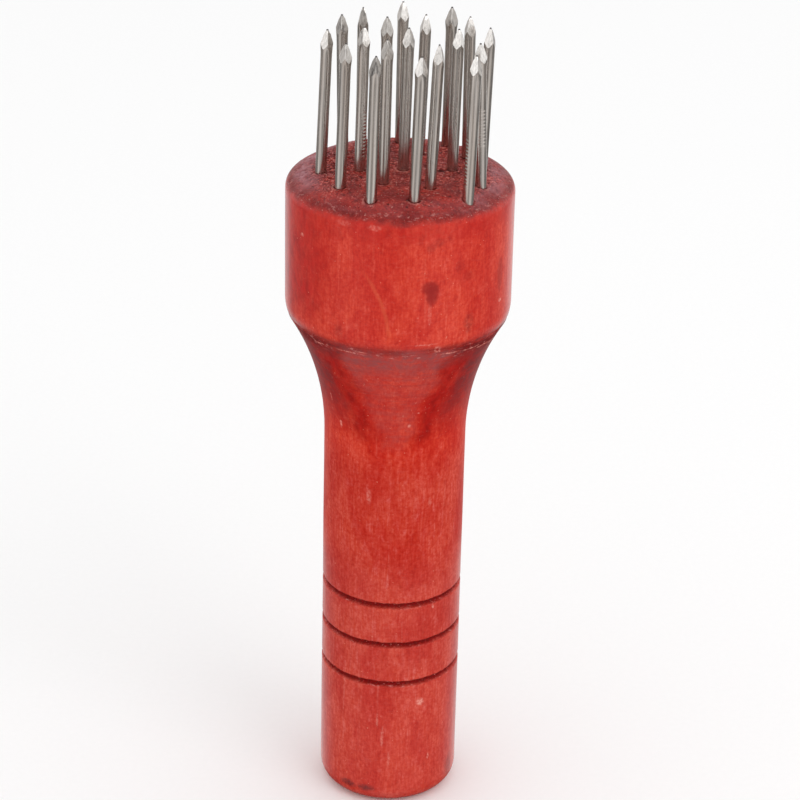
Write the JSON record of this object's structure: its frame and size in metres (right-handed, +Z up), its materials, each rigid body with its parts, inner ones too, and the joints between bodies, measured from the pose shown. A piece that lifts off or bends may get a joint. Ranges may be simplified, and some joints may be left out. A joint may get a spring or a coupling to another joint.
{
  "type": "uncapping fork",
  "caption": "Turned wooden handle with a drum-shaped head that holds a field of straight steel needles, for opening capped honeycomb by hand.",
  "frame": {"origin": "centre of the flat butt of the handle, at the lowest point of the bounding box", "axes": "+Z up the handle's axis towards the needle points; +X to the right when needle_01 to needle_03, the first row, are at the front, -Y"},
  "size_m": [0.045, 0.045, 0.1673],
  "materials": {
    "red_lacquered_wood": "dyed bright red and glossily lacquered, grain showing through",
    "needle_steel": "bare drawn wire with bright cut points"
  },
  "bodies": {
    "root": {"handle": "red_lacquered_wood", "needle_01": "needle_steel", "needle_02": "needle_steel", "needle_03": "needle_steel", "needle_04": "needle_steel", "needle_05": "needle_steel", "needle_06": "needle_steel", "needle_07": "needle_steel", "needle_08": "needle_steel", "needle_09": "needle_steel", "needle_10": "needle_steel", "needle_11": "needle_steel", "needle_12": "needle_steel", "needle_13": "needle_steel", "needle_14": "needle_steel", "needle_15": "needle_steel", "needle_16": "needle_steel", "needle_17": "needle_steel", "needle_18": "needle_steel", "needle_19": "needle_steel"}
  },
  "joints": []
}
